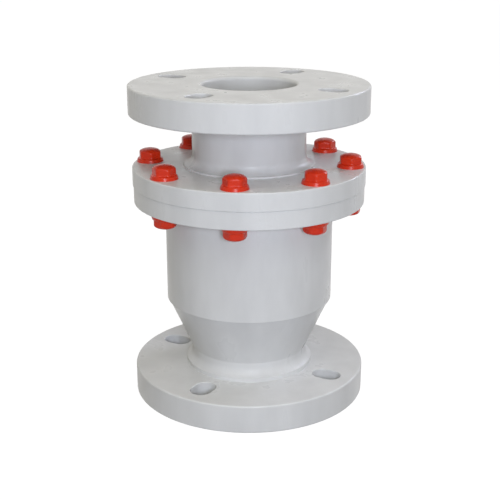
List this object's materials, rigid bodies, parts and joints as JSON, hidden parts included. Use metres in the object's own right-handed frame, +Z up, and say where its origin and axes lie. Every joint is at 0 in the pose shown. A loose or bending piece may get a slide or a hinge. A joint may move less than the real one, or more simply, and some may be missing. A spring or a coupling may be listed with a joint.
{
  "type": "non-return valve",
  "caption": "Flanged vertical ball non-return valve with a bolted plastic body, slotted end flanges and orange-red caps over the body nuts.",
  "frame": {"origin": "centre of the inlet flange's lower face", "axes": "+Z up along the flow axis, from inlet to outlet; the flange slots lie on X and Y"},
  "size_m": [0.2, 0.2, 0.268],
  "materials": {
    "body_plastic": "grey-white polypropylene, semi-gloss",
    "inner_plastic": "grey-white polypropylene, turned and satin",
    "ball_plastic": "ground smooth, satin",
    "cap_plastic": "moulded orange-red, semi-gloss",
    "seal_rubber": "moulded, smooth",
    "stainless_steel": "machined, plain"
  },
  "bodies": {
    "valve_body": {"lower_body": "body_plastic", "bonnet": "body_plastic", "seat_ring": "inner_plastic", "seat_retainer": "inner_plastic", "ball_stop": "inner_plastic", "guide_rib_1": "inner_plastic", "guide_rib_2": "inner_plastic", "guide_rib_3": "inner_plastic", "guide_rib_4": "inner_plastic", "upper_cap_1": "cap_plastic", "upper_cap_2": "cap_plastic", "upper_cap_3": "cap_plastic", "upper_cap_4": "cap_plastic", "upper_cap_5": "cap_plastic", "upper_cap_6": "cap_plastic", "upper_cap_7": "cap_plastic", "upper_cap_8": "cap_plastic", "lower_cap_1": "cap_plastic", "lower_cap_2": "cap_plastic", "lower_cap_3": "cap_plastic", "lower_cap_4": "cap_plastic", "lower_cap_5": "cap_plastic", "lower_cap_6": "cap_plastic", "lower_cap_7": "cap_plastic", "lower_cap_8": "cap_plastic", "body_o_ring": "seal_rubber", "seat_seal": "seal_rubber", "seat_o_ring": "seal_rubber", "studs": "stainless_steel", "upper_nuts": "stainless_steel", "lower_nuts": "stainless_steel", "upper_washers": "stainless_steel", "lower_washers": "stainless_steel"},
    "ball": {"ball": "ball_plastic"}
  },
  "joints": [
    {"name": "ball_lift", "type": "slide", "parent": "valve_body", "child": "ball", "axis": [0, 0, 1], "range_m": [0, 0.03]}
  ]
}
